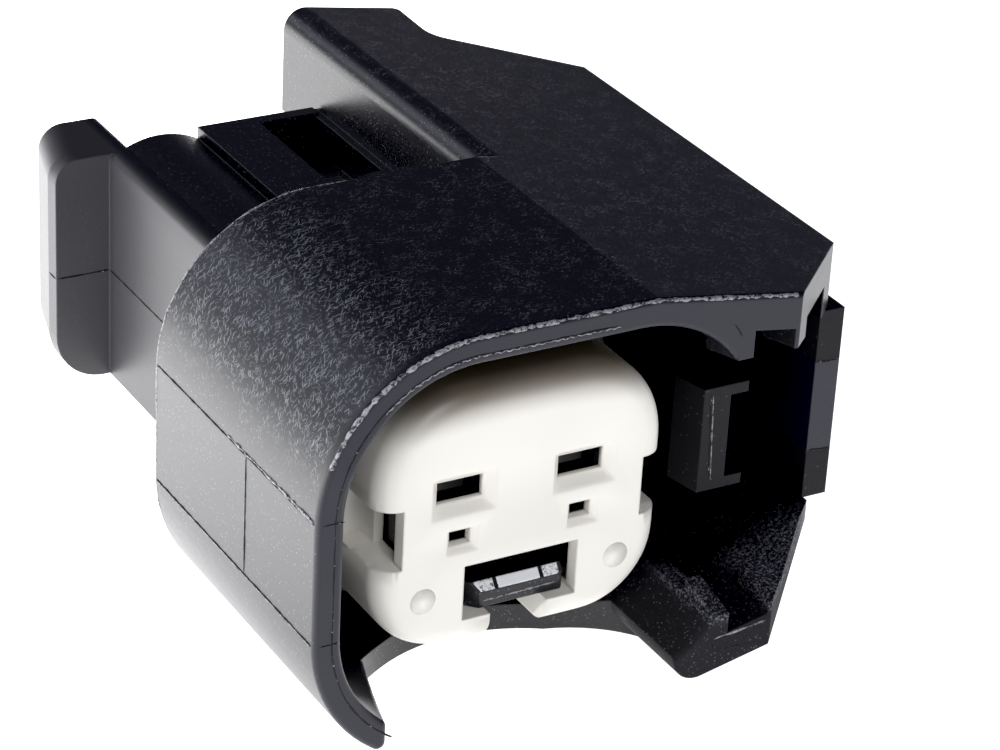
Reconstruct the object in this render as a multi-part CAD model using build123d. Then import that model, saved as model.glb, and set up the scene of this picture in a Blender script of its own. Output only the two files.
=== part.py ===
from build123d import *
import math
import os

# Two-way sealed connector for a fuel injector or a sensor, harness side, with no wires fitted.
# X runs to the latch side, Y from the mating face to the wires, Z up.
# The origin is the centre of the white lock piece's front face, on the mating axis.

# Contacts
pitch = 5.0
contact_z = 1.11
blade_slot_w = 1.86
blade_slot_h = 0.88
probe_hole_w = 0.87
probe_hole_h = 0.61
probe_hole_z = -0.79
blade_flare = 0.43
blade_flare_depth = 0.45
probe_flare = 0.24
probe_flare_depth = 0.28

# White lock piece, a cap over the front of the core
lock_w = 11.9
lock_h = 10.7
lock_corner_r = 3.8
lock_low_corner_r = 3.15
lock_front_edge_r = 0.95
lock_face_t = 0.65
lock_side_t = 1.4
lock_depth = 5.2
mouth_half_w = 2.37
mouth_top_z = -1.9
mouth_floor_z = -4.17
lip_gap_half = 1.2
side_notch_half_h = 0.97
side_notch_depth = 1.0
side_notch_len = 2.9
side_window_len = 1.05
finger_half_w = 1.1
finger_h = 0.6
finger_len = 4.9
finger_drop = 0.91
finger_clearance = 0.1

# Shroud round the mating space
rim_y = -2.0
shroud_len = 13.3
shroud_half_w = 9.45
shroud_half_h = 8.55
shroud_corner_r = 6.25
shroud_wall = 1.1
rear_wall_t = 1.2
rim_edge_r = 0.22

# Latch guards, the sloping plates right of the mating space
fold_x = 3.8
guard_x = 14.3
guard_slope_deg = 9.0
guard_t = 1.42
guard_corner_cut = 4.35
lower_slope_deg = 12.0
lower_break_x = 9.9
lower_break_slope_deg = 26.0
skirt_t = 0.9
pad_gap = 0.2
latch_window_half_h = 5.42
latch_window_x = 5.2
corner_post_x = 8.02
rib_t = 0.65
rib_len = 2.15
rib_tip_z = 5.38
rib_rise = 0.5
outer_rib_x = 9.8
outer_rib_t = 1.15
guard_side_end_y = 20.85
guard_diagonal_x = 9.0
guard_diagonal_y = 24.62
guard_turn_r = 1.4
rear_plane_y = 27.9
guard_tail_x = 9.15
guard_tail_r = 0.3
guard_edge_r = 0.9

# Bottom cut-out at the mouth
cutout_left_inset = 2.65
cutout_left_back_inset = 5.0
cutout_right_x = 5.7
cutout_left_back_y = 3.6
cutout_right_back_y = 2.6
cutout_apex_share = 0.4
cutout_apex_y = 5.3
cutout_tip_r = 0.3
cutout_right_r = 1.05
cutout_rise = 0.33

# Core, the body that carries the contacts
core_nose_gap = 0.1
core_nose_front_y = 1.55
core_body_w = 11.1
core_body_h = 9.9
core_body_corner_r = 3.4
lock_seat_gap = 0.12
tongue_left_gap = 0.4
tongue_right_gap = 0.25
tongue_top_gap = 1.24
tongue_floor_gap = 0.04
tongue_front_y = 0.45
tongue_root = 0.5
tongue_bevel_depth = 0.29
tongue_bevel_h = 0.35
tongue_left_bevel = 0.55
tongue_right_bevel = 0.12

# Rear body between the wings
rear_body_len = 13.4
crown_r = 3.5
crown_x = 3.3
crown_top_z = 5.24
plateau_half_w = 1.6
plateau_rise = 0.07
rear_pocket_x0 = 0.9
rear_pocket_x1 = 3.4
rear_pocket_len = 6.0
rear_pocket_depth = 1.5
rear_bar_t = 0.6
rear_bar_h = 1.2
rear_bar_overhang = 0.2

# Wings and their finger flange
wing_outer_x = 5.65
wing_t = 1.1
wing_half_h = 4.95
wing_edge_r = 0.35
flange_len = 3.6
flange_out_x = 8.0
flange_rear_out_x = 7.25
flange_land = 0.8
flange_top_r = 1.0
flange_bottom_r = 2.1
gusset_len = 8.2
gusset_drop = 2.65
gusset_lean = 0.8
inner_wall_t = 1.2
inner_wall_foot_z = 3.9
inner_wall_lap = 1.0

# Contact cavities, seals and the rear cover
cavity_side_gap = 0.15
cavity_height_gap = 0.3
seal_bore_r = 2.15
seal_bore_len = 7.7
seal_clearance = 0.03
wire_seal_rib_h = 0.32
wire_seal_len = 4.6
wire_seal_ribs = 3
wire_seal_rib_len = 0.7
wire_seal_setback = 0.1
wire_hole_r = 0.85
cover_hole_r = 1.25
cover_t = 1.0
cover_gap = 0.1
cover_corner_r = 0.8
cover_peg_gap = 0.2
cover_peg_len = 1.6

# Interface seal round the core
iface_seal_setback = 0.55
iface_seal_len = 3.9
iface_seal_t = 0.75
iface_seal_rib_h = 0.4
iface_seal_ribs = 3
iface_seal_rib_len = 0.6

# Latch lever
lever_front_y = 1.6
lever_bar_x = 8.78
lever_bar_t = 0.95
lever_half_h = 2.2
lever_flange_x = 10.5
lever_flange_t = 0.45
catch_rise = 0.25
catch_reach = 0.6
catch_len = 1.6
pad_x = 14.0
pad_t = 1.1
pad_half_h = 4.05
pad_front_y = 2.3
pad_rear_y = 22.0
pad_rear_rise = 0.7
pivot_x = 11.9
pivot_y = 13.0
pivot_r = 0.9
pivot_clearance = 0.06
pivot_end_gap = 0.1
pivot_engage = 0.75
web_half_len = 1.3
grip_ribs = 5
grip_rib_pitch = 1.1
grip_rib_w = 0.5
grip_rib_h = 0.3
grip_rib_inset = 0.6

# Female contacts
contact_front_y = 2.1
contact_box_w = 2.2
contact_box_h = 1.9
contact_box_len = 7.4
contact_opening_w = 1.6
contact_opening_h = 0.85
contact_t = 0.25
crimp_w = 1.7
crimp_len = 2.6
crimp_wing_h = 1.3
neck_len = 1.2
neck_w = 1.1

# How far a cutting or a joining solid runs past the face that it meets, and how near counts as touching
past = 1.0
joined = 0.1
touching = 0.001

# The most of a wall that a rounded edge may take, with the other edge rounded too or on its own
paired_share = 0.45
lone_share = 0.8

# Worked out from the sizes above
shroud_rear_y = rim_y + shroud_len
cavity_rear_y = shroud_rear_y - rear_wall_t
cavity_half_w = shroud_half_w - shroud_wall
cavity_half_h = shroud_half_h - shroud_wall
cavity_corner_r = shroud_corner_r - shroud_wall
guard_slope = math.tan(math.radians(guard_slope_deg))
lower_slope = math.tan(math.radians(lower_slope_deg))
lower_break_slope = math.tan(math.radians(lower_break_slope_deg))
side_gap_half_h = pad_half_h + pad_gap
cutout_left_x = -shroud_half_w + cutout_left_inset
cutout_left_back_x = -shroud_half_w + cutout_left_back_inset
cutout_apex_x = cutout_left_back_x + cutout_apex_share * (cutout_right_x - cutout_left_back_x)
rear_body_end_y = shroud_rear_y + rear_body_len
wing_inner_x = wing_outer_x - wing_t
contact_xs = (-pitch / 2, pitch / 2)
contact_cavity_w = contact_box_w + 2 * cavity_side_gap
contact_cavity_h = contact_box_h + 2 * cavity_height_gap
finger_top_z = contact_z - contact_cavity_h / 2 - finger_drop - finger_clearance
seal_bore_y = rear_body_end_y - seal_bore_len
iface_seal_y = lock_depth + iface_seal_setback


def facing(y):
    """The plane at y whose normal points out of the mouth; its axes are X and Z."""
    return Plane(origin=(0, y, 0), x_dir=(1, 0, 0), z_dir=(0, -1, 0))


def sideways(x):
    """The plane at x whose normal points to the latch side; its axes are Y and Z."""
    return Plane(origin=(x, 0, 0), x_dir=(0, 1, 0), z_dir=(1, 0, 0))


def prism_y(sketch, y0, y1):
    """The sketch drawn in X and Z, carried from y0 back to y1."""
    return extrude(facing(y0) * sketch, amount=-(y1 - y0))


def prism_z(sketch, z0, z1):
    """The sketch drawn in X and Y, carried up from z0 to z1."""
    return extrude(Pos(0, 0, z0) * sketch, amount=z1 - z0)


def prism_x(sketch, x0, x1):
    """The sketch drawn in Y and Z, carried from x0 across to x1."""
    return extrude(sideways(x0) * sketch, amount=x1 - x0)


def block(x0, x1, y0, y1, z0, z1):
    """A box between two corners."""
    centre = ((x0 + x1) / 2, (y0 + y1) / 2, (z0 + z1) / 2)
    return Pos(*centre) * Box(x1 - x0, y1 - y0, z1 - z0)


def outline(*points):
    """A filled polygon through the points."""
    return make_face(Polyline(*points, close=True))


def upper_z(x):
    """Height of the upper guard's outer face at x."""
    return shroud_half_h - max(0.0, x - fold_x) * guard_slope


def lower_z(x):
    """Height of the lower guard's outer face at x, which breaks upward near its side."""
    gentle = -shroud_half_h + max(0.0, min(x, lower_break_x) - fold_x) * lower_slope
    return gentle + max(0.0, x - lower_break_x) * lower_break_slope


def mating_floor_z(x):
    """Height of the mating space's floor at x, which rises through its round corners."""
    into_corner = max(0.0, abs(x) - (cavity_half_w - cavity_corner_r))
    return -cavity_half_h + cavity_corner_r - math.sqrt(cavity_corner_r**2 - into_corner**2)


def cutout_top_z():
    """Height that the floor's opening reaches, a little over the wall's inside at its left corner."""
    return mating_floor_z(cutout_left_x) + cutout_rise


def shroud_outline():
    """Mating end: large round corners on the left, sloping guards on the right."""
    corner_x = -shroud_half_w + shroud_corner_r
    corner_z = shroud_half_h - shroud_corner_r
    diagonal = shroud_corner_r * math.sqrt(0.5)
    edges = [
        Line((fold_x, shroud_half_h), (guard_x, upper_z(guard_x))),
        Line((guard_x, upper_z(guard_x)), (guard_x, lower_z(guard_x))),
        Line((guard_x, lower_z(guard_x)), (lower_break_x, lower_z(lower_break_x))),
        Line((lower_break_x, lower_z(lower_break_x)), (fold_x, -shroud_half_h)),
        Line((fold_x, -shroud_half_h), (corner_x, -shroud_half_h)),
        ThreePointArc((corner_x, -shroud_half_h), (corner_x - diagonal, -corner_z - diagonal),
                      (-shroud_half_w, -corner_z)),
        Line((-shroud_half_w, -corner_z), (-shroud_half_w, corner_z)),
        ThreePointArc((-shroud_half_w, corner_z), (corner_x - diagonal, corner_z + diagonal),
                      (corner_x, shroud_half_h)),
        Line((corner_x, shroud_half_h), (fold_x, shroud_half_h)),
    ]
    return make_face(edges)


def latch_space_outline(x0, x1):
    """The space between the guards from x0 to x1, under both sloping plates."""
    low = [(x0, lower_z(x0) + guard_t)]
    if x0 < lower_break_x < x1:
        low.append((lower_break_x, lower_z(lower_break_x) + guard_t))
    low.append((x1, lower_z(x1) + guard_t))
    high = [(x1, upper_z(x1) - guard_t), (x0, upper_z(x0) - guard_t)]
    return outline(*low, *high)


def corner_cut():
    """The front corner that is cut off both guards at forty-five degrees."""
    plan = outline((guard_x - guard_corner_cut, rim_y), (guard_x, rim_y + guard_corner_cut),
                   (guard_x + past, rim_y + guard_corner_cut), (guard_x + past, rim_y - past),
                   (guard_x - guard_corner_cut, rim_y - past))
    return prism_z(plan, -shroud_half_h - past, shroud_half_h + past)


def guard_plan():
    """Both guards seen from above, behind the shroud: side, diagonal and tail."""
    plan = outline((fold_x, cavity_rear_y), (guard_x, cavity_rear_y), (guard_x, guard_side_end_y),
                   (guard_diagonal_x, guard_diagonal_y), (guard_tail_x, rear_plane_y),
                   (fold_x, rear_plane_y))
    turn = (guard_diagonal_x, guard_diagonal_y, guard_turn_r)
    tail = (guard_tail_x, rear_plane_y, guard_tail_r)
    for x, y, r in (turn, tail):
        plan = fillet(plan.vertices().sort_by_distance((x, y, 0))[0], r)
    return plan


def bottom_cutout():
    """The opening in the shroud's floor at the mouth, with a bowed back edge."""
    sides = [
        Line((cutout_left_x, rim_y - past), (cutout_right_x, rim_y - past)),
        Line((cutout_right_x, rim_y - past), (cutout_right_x, cutout_right_back_y)),
        ThreePointArc((cutout_right_x, cutout_right_back_y), (cutout_apex_x, cutout_apex_y),
                      (cutout_left_back_x, cutout_left_back_y)),
        Line((cutout_left_back_x, cutout_left_back_y), (cutout_left_x, rim_y - past)),
    ]
    return prism_z(make_face(sides), -shroud_half_h - past, cutout_top_z())


def open_floor(body):
    """The shroud with its floor opened at the mouth and the opening's side edges rounded."""
    body -= bottom_cutout()

    def side_edges(solid, x0, x1):
        def beside(edge):
            at = edge.center()
            return x0 < at.X < x1 and at.Y < cutout_right_back_y and at.Z < cutout_top_z()

        return solid.edges().filter_by(beside).filter_by(lambda e: e.length > rib_len)

    left = side_edges(body, cutout_left_x, cutout_left_back_x)
    body = fillet(left, min(cutout_tip_r, paired_share * shroud_wall))
    right = side_edges(body, cutout_right_x - joined, cutout_right_x + joined)
    floor_t = mating_floor_z(cutout_right_x) - lower_z(cutout_right_x)
    return fillet(right.sort_by(Axis.Z)[0], min(cutout_right_r, lone_share * floor_t))


def round_rim(body):
    """The shroud with the outer edge of its rim rounded, from the lower left round to the guard."""
    corner_x = -shroud_half_w + shroud_corner_r
    corner_z = shroud_half_h - shroud_corner_r

    def outside(edge):
        at = edge @ 0.5
        if abs(at.Y - rim_y) > touching or at.X > fold_x and at.Z < 0:
            return False
        reach = math.hypot(max(0.0, corner_x - at.X), max(0.0, abs(at.Z) - corner_z))
        return reach > shroud_corner_r - joined or at.X > fold_x and at.Z > upper_z(at.X) - joined

    return fillet(body.edges().filter_by(outside), rim_edge_r)


def shroud():
    """Shroud with its mating space, open floor, front corner cut and latch space."""
    body = prism_y(shroud_outline(), rim_y, shroud_rear_y) - corner_cut()
    space = RectangleRounded(2 * cavity_half_w, 2 * cavity_half_h, cavity_corner_r)
    body -= prism_y(space, rim_y - past, cavity_rear_y)
    body = round_rim(open_floor(body))
    body -= block(latch_window_x, corner_post_x + joined, rim_y - past, cavity_rear_y,
                  -latch_window_half_h, latch_window_half_h)
    body -= prism_y(latch_space_outline(corner_post_x, guard_x - skirt_t), rim_y - past, shroud_rear_y + past)
    body -= block(guard_x - skirt_t - joined, guard_x + past, rim_y - past, shroud_rear_y + past,
                  -side_gap_half_h, side_gap_half_h)
    return body


def front_ribs():
    """Short ribs on both guards beside the mouth, which stand further out towards their rear end."""
    ribs = []
    for x0, width in ((corner_post_x - rib_t, rib_t), (outer_rib_x, outer_rib_t)):
        x1 = x0 + width
        for side, root_z in ((1, upper_z(x1) - guard_t / 2), (-1, lower_z(x0) + guard_t / 2)):
            rear_y = rim_y + rib_len
            profile = outline((rim_y, side * rib_tip_z), (rear_y, side * (rib_tip_z - rib_rise)),
                              (rear_y, root_z), (rim_y, root_z))
            ribs.append(prism_x(profile, x0, x1) - corner_cut())
    return ribs


def rear_guards():
    """The guards behind the shroud, with the latch space open at the side and the back."""
    plan = prism_z(guard_plan(), -shroud_half_h - past, shroud_half_h + past)
    body = prism_y(shroud_outline(), cavity_rear_y, rear_plane_y) & plan
    inner = body.edges().filter_by(Axis.Y).filter_by(lambda e: e.center().X < fold_x + joined)
    body = fillet(inner, min(guard_edge_r, lone_share * inner_wall_t))
    body -= prism_y(latch_space_outline(fold_x + inner_wall_t, guard_x - skirt_t),
                    cavity_rear_y - past, rear_plane_y + past)
    body -= block(guard_x - skirt_t - joined, guard_x + past, cavity_rear_y - past, rear_plane_y + past,
                  -side_gap_half_h, side_gap_half_h)
    body -= block(fold_x - past, fold_x + inner_wall_t + joined, cavity_rear_y - past,
                  rear_plane_y + past, -inner_wall_foot_z, inner_wall_foot_z)
    return body


def core():
    """The core: a nose that carries the white lock piece, and the seat of the ring seal."""
    seat_y = lock_depth + lock_seat_gap
    nose = prism_y(lock_outline(lock_side_t + core_nose_gap), core_nose_front_y, seat_y + joined)
    seat = prism_y(RectangleRounded(core_body_w, core_body_h, core_body_corner_r), seat_y, shroud_rear_y)
    return nose + seat


def rear_body_outline():
    """Section between the wings: a crowned roof over each contact with a flat plateau between."""
    half_w = (wing_outer_x + wing_inner_x) / 2
    centre_z = crown_top_z - crown_r
    low_z = centre_z + math.sqrt(crown_r**2 - (half_w - crown_x) ** 2)
    valley_z = centre_z + math.sqrt(crown_r**2 - (crown_x - plateau_half_w) ** 2)
    flat_z = crown_top_z + plateau_rise
    edges = []
    for side in (1, -1):
        edges += [
            Line((-plateau_half_w, side * flat_z), (plateau_half_w, side * flat_z)),
            Line((plateau_half_w, side * flat_z), (plateau_half_w, side * valley_z)),
            Line((-plateau_half_w, side * flat_z), (-plateau_half_w, side * valley_z)),
            ThreePointArc((plateau_half_w, side * valley_z), (crown_x, side * crown_top_z),
                          (half_w, side * low_z)),
            ThreePointArc((-plateau_half_w, side * valley_z), (-crown_x, side * crown_top_z),
                          (-half_w, side * low_z)),
        ]
    edges.append(Line((half_w, low_z), (half_w, -low_z)))
    edges.append(Line((-half_w, low_z), (-half_w, -low_z)))
    return make_face(edges)


def rear_body():
    """The wire-side body with the pocket beside its plateau and the bar across the pocket's end."""
    body = prism_y(rear_body_outline(), cavity_rear_y, rear_body_end_y)
    top_z = crown_top_z + plateau_rise
    bar_y = rear_body_end_y - rear_bar_t
    body -= block(rear_pocket_x0, rear_pocket_x1, bar_y - rear_pocket_len, bar_y,
                  top_z - rear_pocket_depth, top_z + past)
    body += block(rear_pocket_x0 - rear_bar_overhang, rear_pocket_x1 + rear_bar_overhang,
                  bar_y, rear_body_end_y, top_z - rear_bar_h, top_z)
    return body


def wing(side):
    """A wing wall with rounded long edges and a gusset that drops at the shroud."""
    x0, x1 = sorted((side * wing_outer_x, side * wing_inner_x))
    gusset_y = shroud_rear_y + gusset_len
    gusset_z = -wing_half_h - gusset_drop
    profile = outline((cavity_rear_y, wing_half_h), (rear_plane_y, wing_half_h),
                      (rear_plane_y, -wing_half_h), (gusset_y, -wing_half_h),
                      (gusset_y - gusset_lean, gusset_z), (cavity_rear_y, gusset_z))
    body = prism_x(profile, x0, x1)
    top = body.edges().filter_by(Axis.Y).filter_by(lambda e: e.center().Z > 0)
    return fillet(top, min(wing_edge_r, paired_share * wing_t))


def flange():
    """The finger flange at the left wing's end, with a small top and a large bottom corner."""
    x_in = -(wing_outer_x + wing_inner_x) / 2
    front_y = rear_plane_y - flange_len
    plan = outline((x_in, front_y), (-flange_out_x, front_y), (-flange_out_x, front_y + flange_land),
                   (-flange_rear_out_x, rear_plane_y), (x_in, rear_plane_y))
    body = prism_z(plan, -wing_half_h, wing_half_h)

    def outer_edges(solid, at_z):
        level = solid.edges().filter_by(Plane.XY).filter_by(lambda e: abs(e.center().Z - at_z) < joined)
        return level.filter_by(lambda e: e.center().X < -flange_rear_out_x)

    body = fillet(outer_edges(body, wing_half_h), flange_top_r)
    return fillet(outer_edges(body, -wing_half_h), flange_bottom_r)


def tongue():
    """The stop tongue in the lock piece's mouth, bevelled along its top and side front edges."""
    top_z = mouth_top_z - tongue_top_gap
    bottom_z = mouth_floor_z + tongue_floor_gap
    left_x = -mouth_half_w + tongue_left_gap
    right_x = mouth_half_w - tongue_right_gap
    root_y = core_nose_front_y + tongue_root
    profile = outline((tongue_front_y, bottom_z), (tongue_front_y, top_z - tongue_bevel_h),
                      (tongue_front_y + tongue_bevel_depth, top_z), (root_y, top_z), (root_y, bottom_z))
    plan = outline((left_x + tongue_left_bevel, tongue_front_y),
                   (right_x - tongue_right_bevel, tongue_front_y),
                   (right_x, tongue_front_y + tongue_right_bevel), (right_x, root_y),
                   (left_x, root_y), (left_x, tongue_front_y + tongue_left_bevel))
    return prism_x(profile, left_x, right_x) & prism_z(plan, bottom_z, top_z)


def contact_cavities():
    """Contact cavities from the core's nose to the wire-seal bores, and the bores."""
    cuts = []
    half_w = contact_cavity_w / 2
    half_h = contact_cavity_h / 2
    for x in contact_xs:
        cuts.append(block(x - half_w, x + half_w, core_nose_front_y - past, seal_bore_y + joined,
                          contact_z - half_h, contact_z + half_h))
        cuts.append(prism_y(Pos(x, contact_z) * Circle(seal_bore_r), seal_bore_y, rear_body_end_y + past))
    return cuts


def lock_finger_channels():
    """Channels under the contact cavities for the lock piece's fingers."""
    cuts = []
    half_w = finger_half_w + finger_clearance
    for x in contact_xs:
        cuts.append(block(x - half_w, x + half_w, core_nose_front_y - past,
                          lock_face_t + finger_len + finger_clearance,
                          finger_top_z - finger_h - finger_clearance, finger_top_z + finger_clearance))
    return cuts


def pivot_reach():
    """Half length of the lever's pivot, which ends inside the guard plates."""
    inner = min(upper_z(pivot_x) - guard_t, -(lower_z(pivot_x) + guard_t))
    return inner + pivot_engage


def housing():
    """The black housing, moulded in one: shroud, guards, core, rear body and wings."""
    body = shroud()
    body += rear_guards()
    body += front_ribs()
    body += core()
    body += rear_body()
    body += wing(-1)
    foot_z = inner_wall_foot_z + inner_wall_lap
    body += wing(1) & block(0, wing_outer_x + past, cavity_rear_y, rear_plane_y, -foot_z, foot_z)
    body += flange()
    body += tongue()
    for cut in contact_cavities() + lock_finger_channels():
        body -= cut
    hole = Cylinder(pivot_r + pivot_clearance, 2 * (pivot_reach() + pivot_end_gap))
    return body - Pos(pivot_x, pivot_y, 0) * hole


def funnel(x, z, w, h, flare, depth):
    """A slot through the lock piece's face with a flared lead-in."""
    throat = prism_y(Pos(x, z) * Rectangle(w, h), -past, lock_face_t + joined)
    wide = facing(0) * Pos(x, z) * Rectangle(w + 2 * flare, h + 2 * flare)
    narrow = facing(depth) * Pos(x, z) * Rectangle(w, h)
    return throat + loft([wide, narrow])


def lock_side_notch(side):
    """A notch from the lock piece's front along one side, with a window through the wall."""
    edge = side * lock_w / 2
    x0, x1 = sorted((edge + side * past, edge - side * side_notch_depth))
    notch = block(x0, x1, -past, side_notch_len, -side_notch_half_h, side_notch_half_h)
    x0, x1 = sorted((edge + side * past, edge - side * (lock_side_t + joined)))
    window_end = lock_face_t + side_window_len
    return notch + block(x0, x1, lock_face_t, window_end, -side_notch_half_h, side_notch_half_h)


def lock_outline(inset):
    """Section of the lock piece, drawn in by inset all round; its lower corners are tighter."""
    section = Rectangle(lock_w - 2 * inset, lock_h - 2 * inset)
    for corners, r in ((Axis.Y, lock_low_corner_r), (-Axis.Y, lock_corner_r)):
        section = fillet(section.vertices().sort_by(corners)[0:2], r - inset)
    return section


def front_lock():
    """The white lock piece: a cap with funnelled slots, a mouth, side notches and two fingers."""
    cap = prism_y(lock_outline(0), 0, lock_depth)
    front = cap.faces().sort_by(Axis.Y)[0]
    cap = fillet(front.outer_wire().edges(), lock_front_edge_r)
    open_y = lock_depth + past
    cap -= prism_y(lock_outline(lock_side_t), lock_face_t, open_y)
    cap -= block(-mouth_half_w, mouth_half_w, -past, open_y, mouth_floor_z, mouth_top_z)
    cap -= block(-lip_gap_half, lip_gap_half, -past, open_y, -lock_h / 2 - past, mouth_floor_z + joined)
    for side in (-1, 1):
        cap -= lock_side_notch(side)
    for x in contact_xs:
        cap += block(x - finger_half_w, x + finger_half_w, lock_face_t - joined, lock_face_t + finger_len,
                     finger_top_z - finger_h, finger_top_z)
        cap -= funnel(x, contact_z, blade_slot_w, blade_slot_h, blade_flare, blade_flare_depth)
        cap -= funnel(x, probe_hole_z, probe_hole_w, probe_hole_h, probe_flare, probe_flare_depth)
    return cap


def latch_lever():
    """The side latch: an inner channel beam with the catch, a pivot web and an outer thumb plate."""
    bar_x1 = lever_bar_x + lever_bar_t
    web_y0, web_y1 = pivot_y - web_half_len, pivot_y + web_half_len
    body = block(lever_bar_x, bar_x1, lever_front_y, web_y1, -lever_half_h, lever_half_h)
    for side in (-1, 1):
        z0, z1 = sorted((side * lever_half_h, side * (lever_half_h - lever_flange_t)))
        body += block(lever_bar_x, lever_flange_x, lever_front_y, web_y0 + joined, z0, z1)
    catch = outline((lever_bar_x - catch_rise, lever_front_y), (lever_bar_x + joined, lever_front_y),
                    (lever_bar_x + joined, lever_front_y + catch_len),
                    (lever_bar_x - catch_reach, lever_front_y + catch_len))
    body += prism_z(catch, -lever_half_h, lever_half_h)
    body += block(lever_bar_x, pad_x + joined, web_y0, web_y1, -lever_half_h, lever_half_h)
    pad = outline((pad_x, pad_front_y), (pad_x + pad_t, pad_front_y), (pad_x + pad_t, web_y1),
                  (pad_x + pad_t + pad_rear_rise, pad_rear_y), (pad_x, pad_rear_y))
    body += prism_z(pad, -pad_half_h, pad_half_h)
    rib_half_h = pad_half_h - grip_rib_inset
    for i in range(grip_ribs):
        y = pad_rear_y - grip_rib_inset - i * grip_rib_pitch
        x = pad_x + pad_t + pad_rear_rise * (y - web_y1) / (pad_rear_y - web_y1)
        body += block(x - pad_t / 2, x + grip_rib_h, y - grip_rib_w / 2, y + grip_rib_w / 2,
                      -rib_half_h, rib_half_h)
    return body + Pos(pivot_x, pivot_y, 0) * Cylinder(pivot_r, 2 * pivot_reach())


def interface_seal():
    """The ring seal round the core, with ribs that press on the mating hood."""
    outer_w = core_body_w + 2 * iface_seal_t
    outer_h = core_body_h + 2 * iface_seal_t
    outer_r = core_body_corner_r + iface_seal_t
    ring = prism_y(RectangleRounded(outer_w, outer_h, outer_r), iface_seal_y, iface_seal_y + iface_seal_len)
    rib = RectangleRounded(outer_w + 2 * iface_seal_rib_h, outer_h + 2 * iface_seal_rib_h,
                           outer_r + iface_seal_rib_h)
    step = (iface_seal_len - iface_seal_rib_len) / (iface_seal_ribs - 1)
    for i in range(iface_seal_ribs):
        y = iface_seal_y + i * step
        ring += prism_y(rib, y, y + iface_seal_rib_len)
    seat = RectangleRounded(core_body_w, core_body_h, core_body_corner_r)
    return ring - prism_y(seat, iface_seal_y - past, iface_seal_y + iface_seal_len + past)


def wire_seal(x):
    """A wire seal: a ribbed sleeve in its bore."""
    rear = rear_body_end_y - cover_peg_len - wire_seal_setback
    front = rear - wire_seal_len
    rib_r = seal_bore_r - seal_clearance
    body = prism_y(Pos(x, contact_z) * Circle(rib_r - wire_seal_rib_h), front, rear)
    step = (wire_seal_len - wire_seal_rib_len) / (wire_seal_ribs - 1)
    for i in range(wire_seal_ribs):
        y = front + i * step
        body += prism_y(Pos(x, contact_z) * Circle(rib_r), y, y + wire_seal_rib_len)
    return body - prism_y(Pos(x, contact_z) * Circle(wire_hole_r), front - past, rear + past)


def rear_cover():
    """The seal cover at the wire end, with a peg in each seal bore and a hole for each wire."""
    half_w = fold_x - cover_gap
    half_h = inner_wall_foot_z - cover_gap
    rear_y = rear_body_end_y + cover_t
    body = prism_y(RectangleRounded(2 * half_w, 2 * half_h, cover_corner_r), rear_body_end_y, rear_y)
    for x in contact_xs:
        peg = Pos(x, contact_z) * Circle(seal_bore_r - cover_peg_gap)
        body += prism_y(peg, rear_body_end_y - cover_peg_len, rear_y)
    for x in contact_xs:
        hole = Pos(x, contact_z) * Circle(cover_hole_r)
        body -= prism_y(hole, rear_body_end_y - cover_peg_len - past, rear_y + past)
    return body


def contact(x):
    """A female contact: a box that takes the blade, a neck and two open crimps."""
    z0 = contact_z - contact_box_h / 2
    y1 = contact_front_y + contact_box_len
    body = block(x - contact_box_w / 2, x + contact_box_w / 2, contact_front_y, y1, z0, z0 + contact_box_h)
    body -= block(x - contact_opening_w / 2, x + contact_opening_w / 2, contact_front_y - past,
                  y1 - contact_t, contact_z - contact_opening_h / 2, contact_z + contact_opening_h / 2)
    end = y1 + 2 * (neck_len + crimp_len)
    body += block(x - neck_w / 2, x + neck_w / 2, y1 - joined, end, z0, z0 + contact_t)
    for start in (y1 + neck_len, y1 + 2 * neck_len + crimp_len):
        body += block(x - crimp_w / 2, x + crimp_w / 2, start, start + crimp_len, z0, z0 + contact_t)
        for side in (-1, 1):
            x0, x1 = sorted((x + side * crimp_w / 2, x + side * (crimp_w / 2 - contact_t)))
            body += block(x0, x1, start, start + crimp_len, z0, z0 + crimp_wing_h)
    return body


def main():
    os.makedirs("parts", exist_ok=True)
    nodes = {
        "housing": housing(),
        "front_lock": front_lock(),
        "latch_lever": latch_lever(),
        "interface_seal": interface_seal(),
        "rear_cover": rear_cover(),
    }
    for name, x in zip(("left", "right"), contact_xs):
        nodes["wire_seal_" + name] = wire_seal(x)
        nodes["contact_" + name] = contact(x)
    for name, shape in nodes.items():
        export_step(shape, f"parts/{name}.step")


main()
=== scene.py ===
import math

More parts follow.
